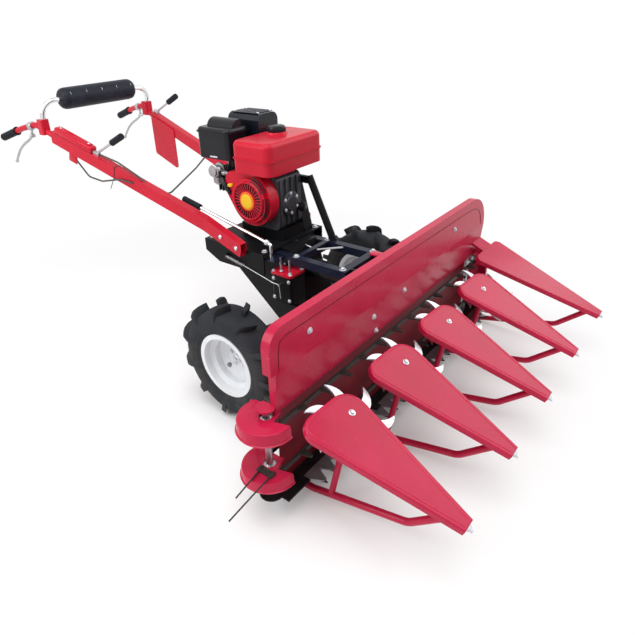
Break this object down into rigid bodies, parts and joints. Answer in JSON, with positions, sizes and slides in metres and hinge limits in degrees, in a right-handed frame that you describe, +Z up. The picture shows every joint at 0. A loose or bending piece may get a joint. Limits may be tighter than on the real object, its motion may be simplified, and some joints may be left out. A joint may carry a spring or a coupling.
{
  "type": "walk-behind mini reaper",
  "caption": "Two-wheeled walk-behind reaper: engine and gearbox on lugged tyres, two long handles with a padded roll, and a front cutting header with dividers, star wheels and a sliding knife.",
  "frame": {"origin": "on the ground under the middle of the machine's outline", "axes": "+X forward to the divider tips, +Y to the machine's left, +Z up"},
  "size_m": [2.452, 1.5492, 1.026],
  "materials": {
    "red_paint": "gloss",
    "black_paint": "satin",
    "bare_metal": "satin",
    "steel": "satin",
    "dark_steel": "satin",
    "plated": "polished",
    "white_rim": "gloss",
    "tyre": "matte",
    "soft_black": "matte",
    "black_plastic": "satin",
    "yellow_disc": "gloss"
  },
  "bodies": {
    "chassis": {"gearbox": "black_paint", "side_gearcase": "black_paint", "gear_cover": "red_paint", "belt_guard": "black_paint", "engine_bed": "black_paint", "front_frame": "black_paint", "engine_stay": "black_paint", "drive_tube": "dark_steel", "bevel_case": "black_paint", "engine_block": "bare_metal", "fan_cover": "red_paint", "starter_disc": "yellow_disc", "fuel_tank": "red_paint", "fuel_cap": "black_plastic", "air_cleaner": "black_plastic", "muffler": "black_paint", "shift_lever": "plated", "lever_grips": "soft_black", "control_levers": "steel", "lever_plate": "red_paint", "control_box": "red_paint", "cables": "soft_black", "handle_bar": "plated", "bar_clamps": "red_paint", "hand_roll": "soft_black", "panel": "red_paint", "header_beam": "black_paint", "back_plate": "black_paint", "cutter_deck": "black_paint", "knife_clips": "black_paint", "conveyor_upper": "dark_steel", "conveyor_lower": "dark_steel", "sprocket_right": "steel", "sprocket_left": "steel", "discharge_guards": "red_paint", "discharge_rods": "dark_steel", "end_guard": "red_paint", "dividers": "red_paint", "nose_studs": "steel", "skids": "red_paint", "star_posts": "red_paint", "handle_grips": "soft_black", "clutch_levers": "dark_steel", "handle_right": "red_paint", "handle_left": "red_paint"},
    "wheel_right": {"tyre_right": "tyre", "rim_right": "white_rim", "axle_right": "steel"},
    "wheel_left": {"tyre_left": "tyre", "rim_left": "white_rim", "axle_left": "steel"},
    "knife": {"knife": "steel"},
    "star_wheel_1": {"star_wheel_1": "steel"},
    "star_wheel_2": {"star_wheel_2": "steel"},
    "star_wheel_3": {"star_wheel_3": "steel"},
    "star_wheel_4": {"star_wheel_4": "steel"}
  },
  "joints": [
    {"name": "wheel_right_spin", "type": "hinge", "parent": "chassis", "child": "wheel_right", "pos_m": [0.3152, -0.33738, 0.219], "axis": [0, 1, 0], "continuous": true},
    {"name": "wheel_left_spin", "type": "hinge", "parent": "chassis", "child": "wheel_left", "pos_m": [0.3152, 0.48862, 0.219], "axis": [0, 1, 0], "continuous": true},
    {"name": "knife_slide", "type": "slide", "parent": "chassis", "child": "knife", "axis": [0, 1, 0], "range_m": [-0.025, 0.025]},
    {"name": "star_1_spin", "type": "hinge", "parent": "chassis", "child": "star_wheel_1", "pos_m": [0.88684, -0.44838, 0.33178], "axis": [0.4147, 0, 0.91], "continuous": true},
    {"name": "star_2_spin", "type": "hinge", "parent": "chassis", "child": "star_wheel_2", "pos_m": [0.88684, -0.14838, 0.33178], "axis": [0.4147, 0, 0.91], "continuous": true},
    {"name": "star_3_spin", "type": "hinge", "parent": "chassis", "child": "star_wheel_3", "pos_m": [0.88684, 0.15162, 0.33178], "axis": [0.4147, 0, 0.91], "continuous": true},
    {"name": "star_4_spin", "type": "hinge", "parent": "chassis", "child": "star_wheel_4", "pos_m": [0.88684, 0.45162, 0.33178], "axis": [0.4147, 0, 0.91], "continuous": true}
  ]
}
